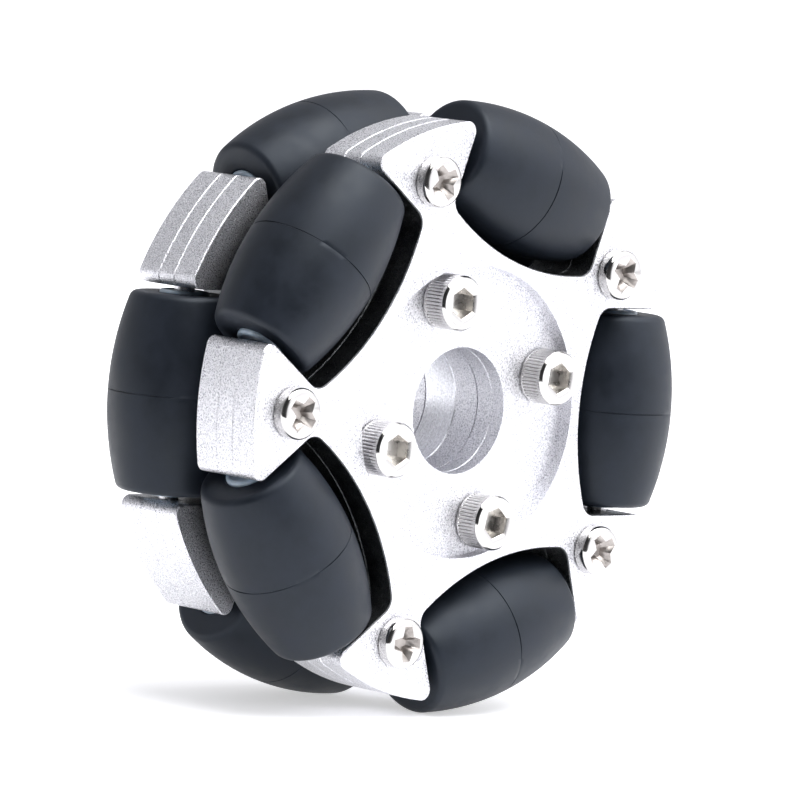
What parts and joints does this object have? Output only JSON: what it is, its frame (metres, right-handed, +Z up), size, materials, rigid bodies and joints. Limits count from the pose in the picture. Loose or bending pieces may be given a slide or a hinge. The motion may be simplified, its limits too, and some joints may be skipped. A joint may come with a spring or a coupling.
{
  "type": "omni wheel",
  "caption": "Double-row omni wheel: star-shaped plates clamp two staggered rings of free-spinning barrel rollers round a plain bore.",
  "frame": {"origin": "centre of the wheel, on the bore's axis, midway between the two rows", "axes": "+Y along the wheel's axis, away from the socket screw heads; +Z up; one ear of the front row points along -X"},
  "size_m": [0.06, 0.0256, 0.06],
  "materials": {
    "cast_aluminium": "sand-blasted silver, bright broken edges",
    "turned_aluminium": "fine turned",
    "roller_rubber": "matte black, moulded, thin parting line",
    "nylon": "natural bluish translucent nylon",
    "pin_steel": "ground steel",
    "nickel_steel": "bright nickel plate",
    "nut_steel": "bright nickel plate"
  },
  "bodies": {
    "frame": {"back_ear_screws": "nickel_steel", "back_inner_plate": "cast_aluminium", "back_middle_plate": "cast_aluminium", "back_outer_plate": "cast_aluminium", "back_roller_pin_1": "pin_steel", "back_roller_pin_2": "pin_steel", "back_roller_pin_3": "pin_steel", "back_roller_pin_4": "pin_steel", "back_roller_pin_5": "pin_steel", "front_ear_screws": "nickel_steel", "front_inner_plate": "cast_aluminium", "front_middle_plate": "cast_aluminium", "front_outer_plate": "cast_aluminium", "front_roller_pin_1": "pin_steel", "front_roller_pin_2": "pin_steel", "front_roller_pin_3": "pin_steel", "front_roller_pin_4": "pin_steel", "front_roller_pin_5": "pin_steel", "hub_nuts": "nut_steel", "hub_screws": "nickel_steel", "hub_spacer": "turned_aluminium"},
    "front_roller_1_body": {"front_roller_1": "roller_rubber", "front_roller_core_1": "nylon"},
    "front_roller_2_body": {"front_roller_2": "roller_rubber", "front_roller_core_2": "nylon"},
    "front_roller_3_body": {"front_roller_3": "roller_rubber", "front_roller_core_3": "nylon"},
    "front_roller_4_body": {"front_roller_4": "roller_rubber", "front_roller_core_4": "nylon"},
    "front_roller_5_body": {"front_roller_5": "roller_rubber", "front_roller_core_5": "nylon"},
    "back_roller_1_body": {"back_roller_1": "roller_rubber", "back_roller_core_1": "nylon"},
    "back_roller_2_body": {"back_roller_2": "roller_rubber", "back_roller_core_2": "nylon"},
    "back_roller_3_body": {"back_roller_3": "roller_rubber", "back_roller_core_3": "nylon"},
    "back_roller_4_body": {"back_roller_4": "roller_rubber", "back_roller_core_4": "nylon"},
    "back_roller_5_body": {"back_roller_5": "roller_rubber", "back_roller_core_5": "nylon"}
  },
  "joints": [
    {"name": "front_roller_1_spin", "type": "hinge", "parent": "frame", "child": "front_roller_1_body", "pos_m": [0.00723, -0.0062, 0.02225], "axis": [-0.9511, 0, 0.309], "continuous": true},
    {"name": "front_roller_2_spin", "type": "hinge", "parent": "frame", "child": "front_roller_2_body", "pos_m": [0.0234, -0.0062, 0], "axis": [0, 0, 1], "continuous": true},
    {"name": "front_roller_3_spin", "type": "hinge", "parent": "frame", "child": "front_roller_3_body", "pos_m": [0.00723, -0.0062, -0.02225], "axis": [0.9511, 0, 0.309], "continuous": true},
    {"name": "front_roller_4_spin", "type": "hinge", "parent": "frame", "child": "front_roller_4_body", "pos_m": [-0.01893, -0.0062, -0.01375], "axis": [0.5878, 0, -0.809], "continuous": true},
    {"name": "front_roller_5_spin", "type": "hinge", "parent": "frame", "child": "front_roller_5_body", "pos_m": [-0.01893, -0.0062, 0.01375], "axis": [-0.5878, 0, -0.809], "continuous": true},
    {"name": "back_roller_1_spin", "type": "hinge", "parent": "frame", "child": "back_roller_1_body", "pos_m": [0.01893, 0.0062, 0.01375], "axis": [-0.5878, 0, 0.809], "continuous": true},
    {"name": "back_roller_2_spin", "type": "hinge", "parent": "frame", "child": "back_roller_2_body", "pos_m": [0.01893, 0.0062, -0.01375], "axis": [0.5878, 0, 0.809], "continuous": true},
    {"name": "back_roller_3_spin", "type": "hinge", "parent": "frame", "child": "back_roller_3_body", "pos_m": [-0.00723, 0.0062, -0.02225], "axis": [0.9511, 0, -0.309], "continuous": true},
    {"name": "back_roller_4_spin", "type": "hinge", "parent": "frame", "child": "back_roller_4_body", "pos_m": [-0.0234, 0.0062, 0], "axis": [0, 0, -1], "continuous": true},
    {"name": "back_roller_5_spin", "type": "hinge", "parent": "frame", "child": "back_roller_5_body", "pos_m": [-0.00723, 0.0062, 0.02225], "axis": [-0.9511, 0, -0.309], "continuous": true}
  ]
}
